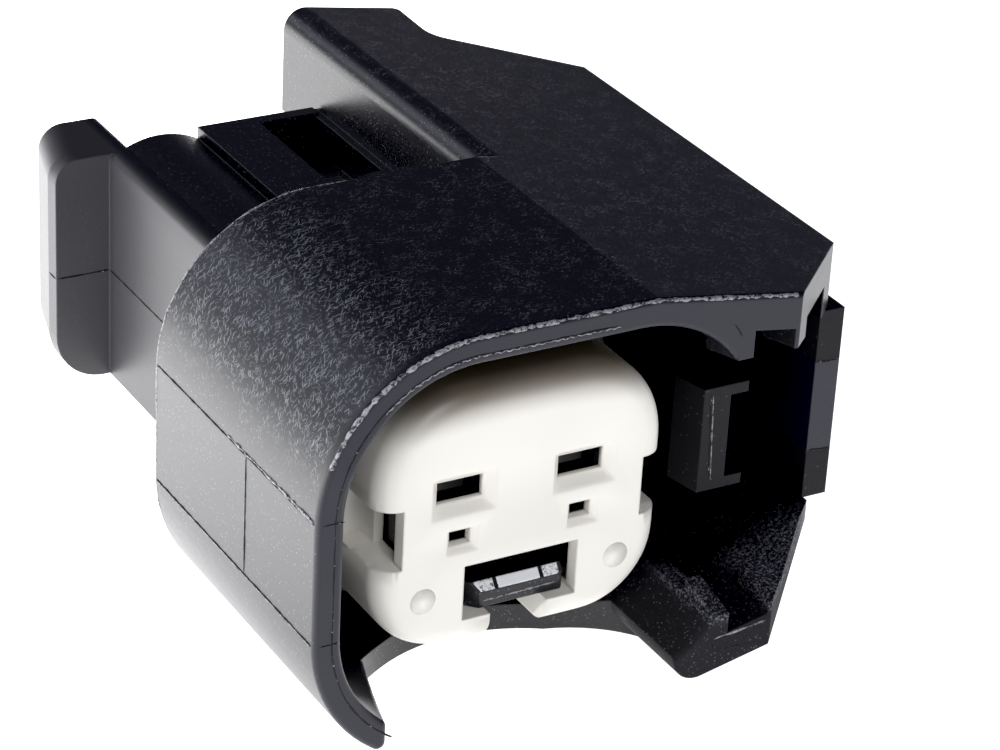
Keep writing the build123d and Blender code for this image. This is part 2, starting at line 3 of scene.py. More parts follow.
import bmesh
import bpy
import numpy as np
from mathutils import Matrix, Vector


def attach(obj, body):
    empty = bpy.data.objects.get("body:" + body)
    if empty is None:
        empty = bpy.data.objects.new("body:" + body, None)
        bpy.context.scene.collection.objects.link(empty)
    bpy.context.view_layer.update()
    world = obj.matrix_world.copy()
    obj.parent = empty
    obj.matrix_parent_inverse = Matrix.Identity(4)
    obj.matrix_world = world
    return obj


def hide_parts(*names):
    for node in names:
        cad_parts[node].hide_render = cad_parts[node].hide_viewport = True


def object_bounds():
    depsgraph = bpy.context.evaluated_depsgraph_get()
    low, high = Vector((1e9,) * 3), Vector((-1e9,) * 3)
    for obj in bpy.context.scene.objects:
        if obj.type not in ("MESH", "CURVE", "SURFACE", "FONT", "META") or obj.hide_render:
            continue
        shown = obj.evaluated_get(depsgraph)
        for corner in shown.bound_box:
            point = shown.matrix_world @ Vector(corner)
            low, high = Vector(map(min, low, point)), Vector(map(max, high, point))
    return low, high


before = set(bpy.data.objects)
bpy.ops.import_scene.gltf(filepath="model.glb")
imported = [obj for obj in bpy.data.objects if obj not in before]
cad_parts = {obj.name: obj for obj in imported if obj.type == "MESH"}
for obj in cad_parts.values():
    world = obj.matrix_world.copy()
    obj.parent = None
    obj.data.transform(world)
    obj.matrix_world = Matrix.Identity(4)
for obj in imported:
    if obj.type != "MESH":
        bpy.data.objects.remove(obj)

bl_info = {
    "name": "Sealed Connector",
    "version": (1, 0, 0),
    "blender": (4, 5, 0),
    "location": "View3D > Sidebar > Connector",
    "description": "Dresses a sealed two-way connector with its moulded edges, seams and plastics",
    "category": "Add Mesh",
}

cad_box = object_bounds()
MM = 0.001

# Places on the connector in millimetres, in the frame of the CAD model
RIM_Y = -2.0
WALL_X = -9.45
SHROUD_HALF_H = 8.55
CORNER_R = 6.25
CORNER_X = WALL_X + CORNER_R
CORNER_Z = SHROUD_HALF_H - CORNER_R
WALL_T = 1.1
SHROUD_REAR_Y = 11.3
FOLD_X = 3.8
GUARD_SLOPE = math.tan(math.radians(9.0))
GUARD_CUT_X = 9.95
WING_X = -5.65
FLANGE_X = -8.0
FLANGE_FRONT_Y = 24.3
LOCK_HALF_W = 5.95
NOTCH_TOP_Z = 0.97
UPPER_PARTING_Z = 2.45
LOWER_PARTING_Z = -2.4
UPRIGHT_PARTING_Y = 3.6


# Shader maths

class Sock:
    """A shader socket that Python's own operators work on, each adding its Math node."""

    def __init__(self, shader, socket):
        self.shader = shader
        self.socket = socket

    def math(self, operation, *others):
        return self.shader.node("Math", {"operation": operation}, dict(enumerate((self, *others))))

    def __add__(self, other):
        return self.math("ADD", other)

    __radd__ = __add__

    def __sub__(self, other):
        return self.math("SUBTRACT", other)

    def __rsub__(self, other):
        return self.shader.node("Math", {"operation": "SUBTRACT"}, {0: other, 1: self})

    def __mul__(self, other):
        return self.math("MULTIPLY", other)

    __rmul__ = __mul__

    def top(self, other):
        """The larger of two."""
        return self.math("MAXIMUM", other)

    def most(self, other):
        """The smaller of two."""
        return self.math("MINIMUM", other)

    def step(self, low, high):
        """Nought at low, one at high, and smooth between; high may be the lower one."""
        return self.shader.node("MapRange", {"interpolation_type": "SMOOTHSTEP"},
                                {"Value": self, "From Min": low, "From Max": high})

    def between(self, low, high, soft):
        """One between low and high, with soft ends."""
        return self.step(low - soft, low) * self.step(high + soft, high)


class Shader:
    """A material's node tree: one method adds any node, and short ones make patterns with it."""

    def __init__(self, name, display):
        self.material = bpy.data.materials.new(name)
        self.material.diffuse_color = (*display, 1.0)
        self.material.use_nodes = True
        self.tree = self.material.node_tree
        self.tree.nodes.clear()
        metres = self.node("TexCoord", {}, {}, "Object")
        self.place = self.node("VectorMath", {"operation": "SCALE"}, {0: metres, "Scale": 1 / MM})
        self.x, self.y, self.z = (self.node("SeparateXYZ", {}, {0: self.place}, i) for i in range(3))

    def node(self, kind, settings, sockets, out=0):
        """A node of that type, with its settings set first, then its sockets' values or links."""
        node = self.tree.nodes.new("ShaderNode" + kind)
        for name, value in settings.items():
            setattr(node, name, value)
        for name, value in sockets.items():
            if isinstance(value, Sock):
                self.tree.links.new(value.socket, node.inputs[name])
            else:
                node.inputs[name].default_value = value
        return Sock(self, node.outputs[out]) if len(node.outputs) else None

    def noise(self, scale, detail=2.0, rough=0.5, place=None):
        """Soft noise with so many lumps to the millimetre, from nought to one about a half."""
        return self.node("TexNoise", {}, {"Vector": place or self.place, "Scale": scale, "Detail": detail,
                                          "Roughness": rough})

    def specks(self, scale, size):
        """Specks, one in each cell of 1/scale mm: one in the middle and nought from size cells out."""
        cell = self.node("TexVoronoi", {}, {"Vector": self.place, "Scale": scale}, "Distance")
        return cell.step(size, 0.4 * size)

    def drawn(self, scale):
        """Fine lines along Y, the way the mould was drawn."""
        along = self.node("Mapping", {}, {"Vector": self.place, "Scale": (scale, 0.12 * scale, scale)})
        return self.noise(1.0, 3.0, 0.6, along)

    def round_the_shroud(self):
        """The distance round the shroud's outside, and one on that outside and nought within it.

        The distance is z - the corner's centre on the wall, radius x angle on the corner, then x on the top.
        """
        rise = self.z - CORNER_Z
        run = CORNER_X - self.x
        high, left = rise.top(0.0), run.top(0.0)
        round_it = CORNER_R * high.math("ARCTAN2", left) + (0.0 - run).top(0.0) + rise.most(0.0)
        reach = (high * high + left * left).math("SQRT") + GUARD_SLOPE * (self.x - FOLD_X).top(0.0)
        return round_it, reach.step(CORNER_R - 0.25, CORNER_R - 0.1)

    def strands(self, length, width, angles):
        """Short strands on the shroud's outside: stretched cells at each angle, and the largest of them."""
        (round_it, outside), size, found = self.round_the_shroud(), 0.3, None
        for angle in angles:
            c, s = math.cos(angle), math.sin(angle)
            along = (c * round_it + s * self.y) * (2 * size / length)
            across = (c * self.y - s * round_it) * (2 * size / width)
            place = self.node("CombineXYZ", {}, {0: along, 1: across, 2: angle})
            cell = self.node("TexVoronoi", {}, {"Vector": place, "Scale": 1.0}, "Distance")
            strand = cell.step(size, 0.5 * size)
            found = strand if found is None else found.top(strand)
        return found * outside

    def mix(self, factor, low, high):
        """The colour low where the factor is nought and high where it is one."""
        low = low if isinstance(low, Sock) else (*low, 1.0)
        high = high if isinstance(high, Sock) else (*high, 1.0)
        return self.node("Mix", {"data_type": "RGBA"}, {0: factor, 6: low, 7: high}, 2)

    def relief(self, height, strength, distance, edge=0.0):
        """A normal from a height in units of distance, over edges rolled by a radius, both in mm."""
        sockets = {"Height": height, "Strength": strength, "Distance": distance * MM}
        if edge:
            sockets["Normal"] = self.node("Bevel", {"samples": 4}, {"Radius": edge * MM})
        return self.node("Bump", {}, sockets)

    def finish(self, sockets):
        """The material, with a Principled surface that has these sockets."""
        surface = self.node("BsdfPrincipled", {}, sockets)
        self.node("OutputMaterial", {}, {"Surface": surface})
        return self.material


# Materials

def glass_filled(shader, colour, fibres):
    """Black glass-filled nylon: pale glass strands, densest over the upper left corner, flecks and dust."""
    grain = shader.noise(9.0, 4.0, 0.65)
    patch = shader.noise(1.1, 3.0, 0.6)
    drawn = shader.drawn(5.0)
    corner = shader.x.step(-2.0, -6.5) * shader.z.step(3.6, 5.0)
    outside = shader.y.step(RIM_Y + 0.3, RIM_Y + 0.7) * shader.z.step(3.0, 4.0)
    strands = shader.strands(0.34, 0.055, (0.25, -0.35, 0.9))
    thin = shader.strands(0.26, 0.05, (1.3, -0.9))
    dense = (strands * patch.step(0.30, 0.55) + 0.5 * thin) * corner
    sparse = strands * patch.step(0.40, 0.66) * (1 - corner)
    flecks = shader.specks(3.0, 0.13) * patch.step(0.62, 0.45)
    dust = shader.specks(6.0, 0.26) * patch.step(0.35, 0.60)
    pale = (dense + 0.5 * sparse) * outside + 0.8 * flecks + 0.75 * dust * (1 - corner)
    base = shader.mix((fibres * pale).most(1.0), colour, (0.19, 0.20, 0.23))
    base = shader.mix(0.10 * grain.step(0.45, 0.75), base, (0.12, 0.12, 0.14))
    rough = (0.24 + 0.10 * grain + 0.06 * drawn + 0.10 * corner).most(0.9)
    height = 0.25 * grain + 0.6 * pale + 0.35 * drawn
    return base, rough, height


def housing_plastic(colours):
    """The housing: glass-filled black, with rough block ends, speckled ribs, a plainer rim face painted a paler, bluer
    black as a painted sheen, and painted light on the wing and flange: a paler black.
    """
    shader = Shader("housing_plastic", colours.housing)
    base, rough, height = glass_filled(shader, tuple(colours.housing), colours.fibres)
    low_right = shader.x.step(4.6, 5.4) * shader.z.step(-3.5, -4.5) * shader.y.step(3.0, 0.8)
    ribs = low_right * shader.x.step(7.0, 7.3) * shader.z.step(-5.95, -5.5)
    front = shader.y.step(RIM_Y + 0.1, RIM_Y + 0.04)
    # Where the wing's outer side and the finger flange get painted light.
    wing = shader.x.step(-5.0, -5.4) * shader.y.step(SHROUD_REAR_Y, SHROUD_REAR_Y + 0.2)
    coarse = shader.noise(5.0, 5.0, 0.75)
    speckle = shader.noise(9.0, 4.0, 0.8).step(0.50, 0.60)
    base = shader.mix(ribs * speckle, base, (0.22, 0.22, 0.27))
    # Painted sheen: the rim's front face, all but the low block, is a plain black made paler and bluer for the slate
    # sheen the front light gives it.
    base = shader.mix(front * (1 - low_right), base, (0.008, 0.008, 0.019))
    # Painted light: the wing's outer side and the finger flange are painted a paler black, standing in for the light
    # they reflect.
    base = shader.mix(0.8 * wing, base, (0.05, 0.049, 0.055))
    rough = rough + 0.45 * low_right + 0.10 * front + 0.12 * wing
    lift = height * (1 - 0.7 * front) + 0.5 * ribs * speckle + 0.5 * low_right * coarse
    return shader.finish({"Base Color": base, "Roughness": rough, "IOR": 1.5,
                          "Normal": shader.relief(lift, 0.5, 0.012, 0.1)})


def flash_and_highlight_plastic(colours):
    """Thin moulding flash, worn edges and painted highlights on the rim's edges: the same black, scuffed to a broken
    pale grey.
    """
    shader = Shader("flash_and_highlight_plastic", (0.3, 0.3, 0.31))
    crumbs = shader.noise(5.5, 4.0, 0.75)
    scuffed = crumbs.step(0.38, 0.56)
    base = shader.mix(scuffed, tuple(colours.housing), tuple(colours.scuff))
    return shader.finish({"Base Color": base, "Roughness": 0.30 + 0.25 * crumbs, "IOR": 1.5,
                          "Normal": shader.relief(crumbs, 0.8, 0.04)})


def seam_plastic(colours):
    """The dark edge of a parting line, dull and almost black, with a few pale crumbs."""
    shader = Shader("seam_plastic", (0.02, 0.02, 0.02))
    crumbs = shader.noise(6.0, 4.0, 0.75)
    base = shader.mix(crumbs.step(0.60, 0.68), (0.002, 0.002, 0.003), tuple(colours.scuff))
    return shader.finish({"Base Color": base, "Roughness": 0.55 + 0.3 * crumbs, "IOR": 1.45,
                          "Normal": shader.relief(crumbs, 0.7, 0.03)})


def lever_plastic(colours):
    """The latch lever: dull black, with a smoother and bluer panel across its thumb plate's front."""
    shader = Shader("lever_plastic", colours.lever)
    grain = shader.noise(9.0, 4.0, 0.65)
    scuff = shader.noise(4.0, 4.0, 0.7)
    flecks = shader.specks(3.0, 0.13)
    panel = shader.x.step(13.8, 13.9) * shader.z.between(-1.95, 1.85, 0.03)
    base = shader.mix(0.4 * colours.fibres * flecks, tuple(colours.lever), (0.24, 0.26, 0.30))
    base = shader.mix(panel * (0.4 + 0.6 * scuff), base, (0.016, 0.016, 0.034))
    rough = 0.62 + 0.2 * grain - 0.30 * panel
    return shader.finish({"Base Color": base, "Roughness": rough, "IOR": 1.5,
                          "Normal": shader.relief(0.5 * grain + 0.5 * scuff, 0.5, 0.012, 0.08)})


def lock_plastic(colours):
    """The lock piece: smooth ivory with painted shade, warm and brown, towards its rounded top under the shroud's roof,
    with a fine grain.
    """
    shader = Shader("lock_plastic", colours.lock)
    cloud = shader.noise(0.4, 3.0, 0.5)
    grain = shader.noise(9.0, 3.0, 0.6)
    # Painted shade: the ivory darkens to a warm brown towards its top, where the shroud's roof shades it.
    shade = (shader.z + 0.02 * shader.x * shader.x).step(3.7, 5.3) * 0.95 + 0.05 * cloud
    base = shader.mix(shade.most(1.0), tuple(colours.lock), (0.12, 0.10, 0.07))
    dirt = shader.specks(0.8, 0.03) * cloud.step(0.45, 0.6)
    base = shader.mix(0.6 * dirt, base, (0.34, 0.25, 0.12))
    return shader.finish({"Base Color": base, "Roughness": 0.28 + 0.14 * grain, "IOR": 1.5,
                          "Normal": shader.relief(grain, 0.35, 0.006, 0.14)})


def struck_silver(colours):
    """The stop tongue's struck bevel: bright speckled grey, almost white in its middle facet."""
    shader = Shader("struck_silver", colours.silver)
    crumbs = shader.noise(6.0, 5.0, 0.8)
    middle = shader.x.between(-0.70, 1.22, 0.02)
    pale = crumbs.step(0.38, 0.52).top(middle * crumbs.step(0.26, 0.34))
    base = shader.mix(pale, (0.06, 0.06, 0.075), tuple(colours.silver))
    return shader.finish({"Base Color": base, "Roughness": 0.35 + 0.3 * crumbs, "IOR": 1.6,
                          "Normal": shader.relief(crumbs, 0.8, 0.02)})


def seal_rubber(colours):
    """Black seal rubber with a dull bloom on its ribs."""
    shader = Shader("seal_rubber", colours.rubber)
    bloom = shader.noise(1.4, 4.0, 0.6)
    base = shader.mix(bloom.step(0.45, 0.75), tuple(colours.rubber), (0.03, 0.03, 0.034))
    return shader.finish({"Base Color": base, "Roughness": 0.45 + 0.3 * bloom, "IOR": 1.5,
                          "Normal": shader.relief(shader.noise(12.0), 0.4, 0.01, 0.06)})


def tin_plate(colours):
    """Tin-plated brass: matt silver with rolling lines and a breath of the brass where it is worn."""
    shader = Shader("contact_metal", colours.tin)
    along = shader.node("Mapping", {}, {"Vector": shader.place, "Scale": (22.0, 0.8, 22.0)})
    rolled = shader.noise(1.0, 2.0, 0.5, along)
    blush = shader.noise(0.5, 3.0, 0.6)
    base = shader.mix(0.6 * blush.step(0.62, 0.8), tuple(colours.tin), (0.50, 0.46, 0.38))
    return shader.finish({"Base Color": base, "Roughness": 0.28 + 0.2 * rolled, "Metallic": 1.0,
                          "Normal": shader.relief(rolled, 0.3, 0.004, 0.05)})


def floor_table(stage):
    """The pale floor: a light table that glows evenly in front and more to the left and behind."""
    shader = Shader("floor_pale", (0.9, 0.9, 0.9))
    behind = (shader.y - 1.4 * shader.x).step(0.0, 55.0)
    glow = stage.floor_glow + stage.floor_glow_behind * behind
    level = shader.node("CombineColor", {}, {0: glow, 1: glow, 2: glow})
    base = shader.mix(shader.noise(0.05), (0.84, 0.84, 0.84), (0.86, 0.86, 0.86))
    return shader.finish({"Base Color": base, "Roughness": 0.8, "Emission Color": level,
                          "Emission Strength": 1.0})


# Meshes

def new_piece(name, points, faces, material, body):
    """A piece from points in millimetres and faces of corner numbers, merged where its points meet."""
    mesh = bpy.data.meshes.new(name)
    mesh.from_pydata((np.asarray(points, float) * MM).tolist(), [], np.asarray(faces).tolist())
    work = bmesh.new()
    work.from_mesh(mesh)
    bmesh.ops.remove_doubles(work, verts=work.verts, dist=0.0002 * MM)
    bmesh.ops.recalc_face_normals(work, faces=work.faces)
    work.to_mesh(mesh)
    work.free()
    if material:
        mesh.materials.append(material)
        mesh.shade_smooth()
    piece = bpy.data.objects.new(name, mesh)
    bpy.context.scene.collection.objects.link(piece)
    if body:
        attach(piece, body)
    return piece


def grid_faces(rows, columns, round_columns=False):
    """The quads of a grid of points, closed round its columns where asked."""
    i, j = np.meshgrid(np.arange(rows - 1), np.arange(columns if round_columns else columns - 1), indexing="ij")
    after = (j + 1) % columns
    corners = (i * columns + j, i * columns + after, (i + 1) * columns + after, (i + 1) * columns + j)
    return np.stack([c.ravel() for c in corners], axis=1)


def wander(count, lumps, seed):
    """Random heights from nought to one at count places, straight between so many lumps."""
    knots = np.random.default_rng(seed).random(max(2, int(lumps)))
    return np.interp(np.linspace(0, len(knots) - 1, count), np.arange(len(knots)), knots)


def spaced(points, step):
    """The same path with its points so far apart: each is set by its length along the path."""
    points = np.asarray(points, float)
    along = np.concatenate([[0.0], np.cumsum(np.linalg.norm(np.diff(points, axis=0), axis=1))])
    places = np.linspace(0, along[-1], max(3, int(along[-1] / step)))
    return np.stack([np.interp(places, along, points[:, k]) for k in range(3)], axis=1)


def shroud_path(inset, y, start, end_x):
    """The shroud's outline drawn in by inset: from the angle start over the left wall and corner to the top.

    A corner's point at angle a is its centre + (r cos a, r sin a); past the fold the top falls with the guard.
    """
    r = CORNER_R - inset
    top = SHROUD_HALF_H - inset
    low = np.radians(np.linspace(max(start, 180.0), 180.0, 40))
    high = np.radians(np.linspace(min(start, 180.0), 90.0, 60))
    ahead = np.array([x for x in (FOLD_X, end_x) if x <= end_x])
    x = np.concatenate([CORNER_X + r * np.cos(low), CORNER_X + r * np.cos(high), ahead])
    z = np.concatenate([-CORNER_Z + r * np.sin(low), CORNER_Z + r * np.sin(high),
                        top - np.maximum(0.0, ahead - FOLD_X) * GUARD_SLOPE])
    path = np.stack([x, np.full_like(x, y), z], axis=1)
    return path if start > 180.0 else path[len(low):]


def outward(path):
    """The way out of the shroud at each point of a path: across the path's run and across Y."""
    run = np.gradient(path, axis=0)
    out = np.stack([-run[:, 2], np.zeros(len(run)), run[:, 0]], axis=1)
    return out / np.linalg.norm(out, axis=1)[:, None]


def ridge(name, path, out, half_w, height, rough, material, body, seed=1, lump=0.25, sides=8):
    """A raised line along a path: an ellipse half_w wide and height high at each point, its size from noise.

    A point of the ring at angle a is the path's point + out x height x sin a + across x half_w x cos a.
    """
    path = np.asarray(path, float)
    count = len(path)
    length = np.linalg.norm(np.diff(path, axis=0), axis=1).sum()
    run = np.gradient(path, axis=0)
    run /= np.linalg.norm(run, axis=1)[:, None]
    out = np.broadcast_to(np.asarray(out, float), path.shape)
    across = np.cross(run, out)
    across /= np.linalg.norm(across, axis=1)[:, None]
    taper = np.clip(np.minimum(np.arange(count), np.arange(count)[::-1]) / 3.0, 0.0, 1.0)
    size = taper * (1 - rough + 2 * rough * wander(count, length / lump, seed))
    sway = half_w * rough * (wander(count, length / lump, seed + 50) - 0.5)
    angle = np.linspace(0, 2 * np.pi, sides, endpoint=False)
    ring = (out[:, None] * (height * np.sin(angle))[None, :, None]
            + across[:, None] * (half_w * np.cos(angle))[None, :, None])
    points = path[:, None] + ring * size[:, None, None] + (across * sway[:, None])[:, None]
    return new_piece(name, points.reshape(-1, 3), grid_faces(count, sides, True), material, body)


def facet(name, corners, lift, grain, material, body, seed):
    """A struck facet: a low pillow between four corners, its top roughened by noise and its foot sunk.

    A point at (u, v) is the blend of the corners by u and v + the normal x (edge x (2 lift + grain x noise) - lift).
    """
    a, b, c, d = np.asarray(corners, float)
    normal = np.cross(b - a, d - a)
    normal /= np.linalg.norm(normal)
    columns, rows = 46, 18
    u, v = np.meshgrid(np.linspace(0, 1, columns), np.linspace(0, 1, rows))
    u, v = u[..., None], v[..., None]
    flat = (a * (1 - u) + b * u) * (1 - v) + (d * (1 - u) + c * u) * v - normal * lift
    edge = np.clip(12 * np.minimum(np.minimum(u, 1 - u), np.minimum(v, 1 - v)), 0, 1)
    noise = np.random.default_rng(seed).random((rows, columns, 1))
    upper = flat + normal * edge * (2 * lift + grain * noise)
    points = np.concatenate([upper.reshape(-1, 3), flat.reshape(-1, 3)])
    faces = grid_faces(rows, columns)
    both = np.concatenate([faces, faces[:, ::-1] + rows * columns])
    return new_piece(name, points, both, material, body)


def disc(name, centre, radius, height, material, body):
    """A round mark on the lock piece's face: flat in the middle, with a soft rim, closed behind.

    A point at (share of the radius s, angle a) stands out by height x the smooth fall of s from 0.82 to 1.
    """
    shares = np.concatenate([[0.0], np.linspace(0.3, 0.8, 3), np.linspace(0.84, 1.0, 7), [1.0, 0.0]])
    fall = np.clip((1 - shares) / 0.18, 0, 1)
    out = height * fall * fall * (3 - 2 * fall)
    out[-2:] = -0.03
    angle = np.linspace(0, 2 * np.pi, 48, endpoint=False)
    x = centre[0] + radius * shares[:, None] * np.cos(angle)
    z = centre[1] + radius * shares[:, None] * np.sin(angle)
    y = np.broadcast_to(0.002 - out[:, None], x.shape)
    points = np.stack([x, y, z], axis=2).reshape(-1, 3)
    return new_piece(name, points, grid_faces(len(shares), len(angle), True), material, body)


def boxes(name, corners):
    """A cutter of boxes: each is the eight corners between its lowest and its highest."""
    unit = np.array([(i, j, k) for i in (0, 1) for j in (0, 1) for k in (0, 1)], float)
    sides = np.array([(0, 1, 3, 2), (4, 6, 7, 5), (0, 4, 5, 1), (2, 3, 7, 6), (0, 2, 6, 4), (1, 5, 7, 3)])
    points = [np.array(low) + unit * (np.array(high) - np.array(low)) for low, high in corners]
    faces = np.concatenate([sides + 8 * i for i in range(len(corners))])
    return new_piece(name, np.concatenate(points), faces, None, None)


def carved_copy(node, name, cutters, material, body):
    """A copy of a CAD node, merged and cut by each cutter in turn, that stands in for the node."""
    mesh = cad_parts[node].data.copy()
    work = bmesh.new()
    work.from_mesh(mesh)
    bmesh.ops.remove_doubles(work, verts=work.verts, dist=0.001 * MM)
    work.to_mesh(mesh)
    work.free()
    uncut = bpy.data.objects.new(name + "_uncut", mesh)
    bpy.context.scene.collection.objects.link(uncut)
    for cutter in cutters:
        cut = uncut.modifiers.new(cutter.name, "BOOLEAN")
        cut.operation = "DIFFERENCE"
        cut.solver = "EXACT"
        cut.object = cutter
    bpy.context.view_layer.update()
    carved = bpy.data.meshes.new_from_object(uncut.evaluated_get(bpy.context.evaluated_depsgraph_get()))
    for used in (uncut, *cutters):
        bpy.data.objects.remove(used)
    carved.name = name
    carved.materials.clear()
    carved.materials.append(material)
    carved.shade_smooth()
    carved.set_sharp_from_angle(angle=math.radians(28))
    piece = bpy.data.objects.new(name, carved)
    bpy.context.scene.collection.objects.link(piece)
    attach(piece, body)
    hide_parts(node)
    return piece


# Settings

class ConnectorColours(bpy.types.PropertyGroup):
    """The colours of the plastics, the rubber and the plating."""
    housing: bpy.props.FloatVectorProperty(name="Housing", description="Black glass-filled nylon of the housing",
                                           default=(0.004, 0.004, 0.007), subtype="COLOR", min=0, max=1)
    lever: bpy.props.FloatVectorProperty(name="Lever", description="Black plastic of the latch lever",
                                         default=(0.003, 0.003, 0.006), subtype="COLOR", min=0, max=1)
    # This pale grey also paints highlights on the rim's edges.
    scuff: bpy.props.FloatVectorProperty(name="Scuff", description="Pale grey of worn edges and flash",
                                         default=(0.34, 0.34, 0.37), subtype="COLOR", min=0, max=1)
    lock: bpy.props.FloatVectorProperty(name="Lock", description="Ivory white of the lock piece",
                                        default=(0.88, 0.86, 0.80), subtype="COLOR", min=0, max=1)
    silver: bpy.props.FloatVectorProperty(name="Struck bevel", description="Bright grey of the stop tongue's bevel",
                                          default=(0.80, 0.82, 0.85), subtype="COLOR", min=0, max=1)
    rubber: bpy.props.FloatVectorProperty(name="Rubber", description="Black of the seals",
                                          default=(0.01, 0.01, 0.012), subtype="COLOR", min=0, max=1)
    tin: bpy.props.FloatVectorProperty(name="Tin", description="Plating of the contacts",
                                       default=(0.70, 0.71, 0.74), subtype="COLOR", min=0, max=1)
    fibres: bpy.props.FloatProperty(name="Fibres", description="How far the glass strands show in the black",
                                    default=0.85, min=0, max=1, subtype="FACTOR")


class ConnectorSizes(bpy.types.PropertyGroup):
    """The sizes of the moulding's lines, edges and notches, in millimetres."""
    flash_w: bpy.props.FloatProperty(name="Flash width", description="Half width of a parting line, in mm",
                                     default=0.035, min=0.01, max=0.2)
    flash_h: bpy.props.FloatProperty(name="Flash height", description="Height of a parting line, in mm",
                                     default=0.03, min=0.005, max=0.1)
    # The rim bead is partly a worn edge and partly a painted highlight.
    bead_r: bpy.props.FloatProperty(name="Rim bead", description="Radius of the rim's worn edge, in mm",
                                    default=0.10, min=0.02, max=0.3)
    mark_r: bpy.props.FloatProperty(name="Ejector mark", description="Radius of the lock piece's round marks, in mm",
                                    default=0.56, min=0.1, max=2.0)
    notch_low_z: bpy.props.FloatProperty(name="Notch foot", description="Height of the side notches' foot, in mm",
                                         default=-1.45, min=-2.5, max=-0.97)
    notch_len: bpy.props.FloatProperty(name="Notch length", description="Length of the side notches, in mm",
                                       default=3.3, min=2.9, max=4.5)
    window_end: bpy.props.FloatProperty(name="Window end", description="Rear end of the notches' windows, in mm",
                                        default=2.25, min=1.7, max=3.0)


class ConnectorStage(bpy.types.PropertyGroup):
    """The floor's glow and the strength of the lamps."""
    floor_glow: bpy.props.FloatProperty(name="Floor glow", description="Glow of the light table in front",
                                        default=1.1, min=0, max=10)
    floor_glow_behind: bpy.props.FloatProperty(name="Glow behind", description="Extra glow to the left and behind",
                                               default=2.5, min=0, max=10)
    softbox: bpy.props.FloatProperty(name="Softbox", description="Power of the softbox at the back left",
                                     default=0.12, min=0, max=100, unit="POWER")
    side_lamp: bpy.props.FloatProperty(name="Side lamp", description="Power of the lamp at the left",
                                       default=0.4, min=0, max=100, unit="POWER")
    key: bpy.props.FloatProperty(name="Key", description="Power of the softbox beside the camera",
                                 default=0.5, min=0, max=100, unit="POWER")
    black_level: bpy.props.FloatProperty(name="Black level", description="Light that still counts as black",
                                         default=0.006, min=0, max=0.1)


# Operators

class ConnectorOperator(bpy.types.Operator):
    """What the connector's operators share."""
    bl_options = {"REGISTER", "UNDO"}

    @property
    def colours(self):
        return bpy.context.scene.connector_colours

    @property
    def sizes(self):
        return bpy.context.scene.connector_sizes


def give_material(nodes, material):
    """Gives CAD nodes a better material in place of their plain one."""
    for node in nodes:
        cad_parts[node].material_slots[0].material = material


class CONNECTOR_OT_housing(ConnectorOperator):
    """Gives the moulded housing and its rear cover their glass-filled black"""
    bl_idname = "connector.housing"
    bl_label = "Housing"

    def execute(self, context):
        give_material(("housing", "rear_cover"), housing_plastic(self.colours))
        return {"FINISHED"}


class CONNECTOR_OT_rim(ConnectorOperator):
    """Adds the pale edge round the rim, partly wear and partly a painted highlight, the seam across its face, and the
    pale edge at the shroud's rear, a painted highlight
    """
    bl_idname = "connector.rim"
    bl_label = "Rim"

    def execute(self, context):
        flash, seam = flash_and_highlight_plastic(self.colours), seam_plastic(self.colours)
        front, r = (0.0, -1.0, 0.0), self.sizes.bead_r
        # The rim's pale bead is partly a worn, broken edge and partly a painted highlight along its rounded outer edge,
        # brightest over the upper left corner.
        edge = spaced(shroud_path(r + 0.02, RIM_Y + r + 0.02, 160.0, GUARD_CUT_X), 0.06)
        out = outward(edge) + np.array(front)
        out /= np.linalg.norm(out, axis=1)[:, None]
        ridge("rim_wear_and_highlight", edge, out, r, r, 0.2, flash, "shell", 3, 0.14, 10)
        line = spaced(shroud_path(0.72, RIM_Y, 238.0, 2.3), 0.05)
        ridge("rim_seam", line, front, 0.03, 0.02, 0.5, seam, "shell", 7, 0.3)
        row = line[(line[:, 0] > -7.0) & (line[:, 2] > 6.0)]
        beads = 0.5 + 0.5 * np.cos(np.linspace(0, 2 * np.pi * 30, len(row)))
        row = row - outward(row) * (0.05 * beads[:, None] + 0.02)
        ridge("rim_seam_beads", row, front, 0.025, 0.03, 0.45, flash, "shell", 9, 0.12)
        # Painted highlight: a thin pale ridge on the shroud's rear edge stands for the light along that rounded edge.
        rear = spaced(shroud_path(0.02, SHROUD_REAR_Y - 0.03, 195.0, -1.5), 0.08)
        ridge("rear_rim_edge", rear, outward(rear), 0.05, 0.035, 0.4, flash, "shell", 11, 0.3)
        return {"FINISHED"}


